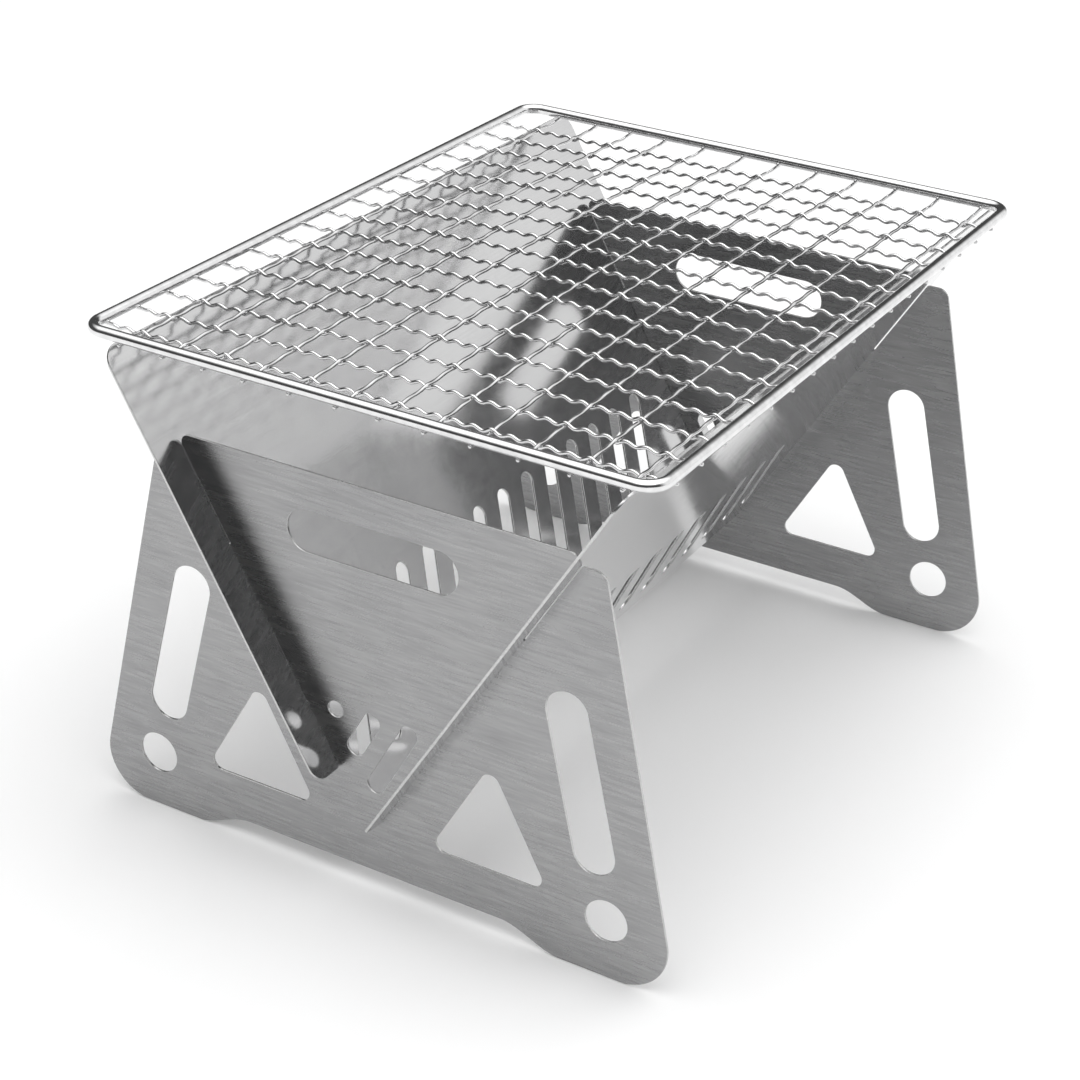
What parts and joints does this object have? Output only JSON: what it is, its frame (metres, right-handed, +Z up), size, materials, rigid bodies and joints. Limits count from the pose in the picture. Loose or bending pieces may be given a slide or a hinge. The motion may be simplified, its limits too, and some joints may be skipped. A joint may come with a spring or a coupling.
{
  "type": "folding camp grill",
  "caption": "Flat-pack charcoal grill: slotted end plates with legs, sloping vented side panels forming a V trough, and a lift-off rod-framed wire mesh grate.",
  "frame": {"origin": "middle of the footprint, on the plane the feet stand on", "axes": "+X across the V trough, +Y along the trough from the front end plate to the rear end plate, +Z up"},
  "size_m": [0.2498, 0.33, 0.2069],
  "materials": {
    "end_plate": "horizontally brushed stainless sheet, satin",
    "side_panel": "bright rolled stainless sheet, soft mirror",
    "grate_rod": "bright drawn rod",
    "grate_wire": "bright crimped wire"
  },
  "bodies": {
    "end_plates": {"front_end_plate": "end_plate", "rear_end_plate": "end_plate"},
    "left_panel": {"left_side_panel": "side_panel"},
    "right_panel": {"right_side_panel": "side_panel"},
    "grate": {"grate_frame": "grate_rod", "long_wire_01": "grate_wire", "long_wire_02": "grate_wire", "long_wire_03": "grate_wire", "long_wire_04": "grate_wire", "long_wire_05": "grate_wire", "long_wire_06": "grate_wire", "long_wire_07": "grate_wire", "long_wire_08": "grate_wire", "long_wire_09": "grate_wire", "long_wire_10": "grate_wire", "long_wire_11": "grate_wire", "long_wire_12": "grate_wire", "cross_wire_01": "grate_wire", "cross_wire_02": "grate_wire", "cross_wire_03": "grate_wire", "cross_wire_04": "grate_wire", "cross_wire_05": "grate_wire", "cross_wire_06": "grate_wire", "cross_wire_07": "grate_wire", "cross_wire_08": "grate_wire", "cross_wire_09": "grate_wire", "cross_wire_10": "grate_wire", "cross_wire_11": "grate_wire", "cross_wire_12": "grate_wire", "cross_wire_13": "grate_wire", "cross_wire_14": "grate_wire", "cross_wire_15": "grate_wire", "cross_wire_16": "grate_wire", "cross_wire_17": "grate_wire"}
  },
  "joints": [
    {"name": "left_panel_slide", "type": "slide", "parent": "end_plates", "child": "left_panel", "axis": [-0.5135, 0, 0.8581], "range_m": [0, 0.18]},
    {"name": "right_panel_slide", "type": "slide", "parent": "end_plates", "child": "right_panel", "axis": [0.5135, 0, 0.8581], "range_m": [0, 0.18]},
    {"name": "grate_lift", "type": "slide", "parent": "left_panel", "child": "grate", "axis": [0, 0, 1], "range_m": [0, 0.2]}
  ],
  "couplings": [
    {"joint": "right_panel_slide", "follows": "left_panel_slide", "ratio": 1}
  ]
}
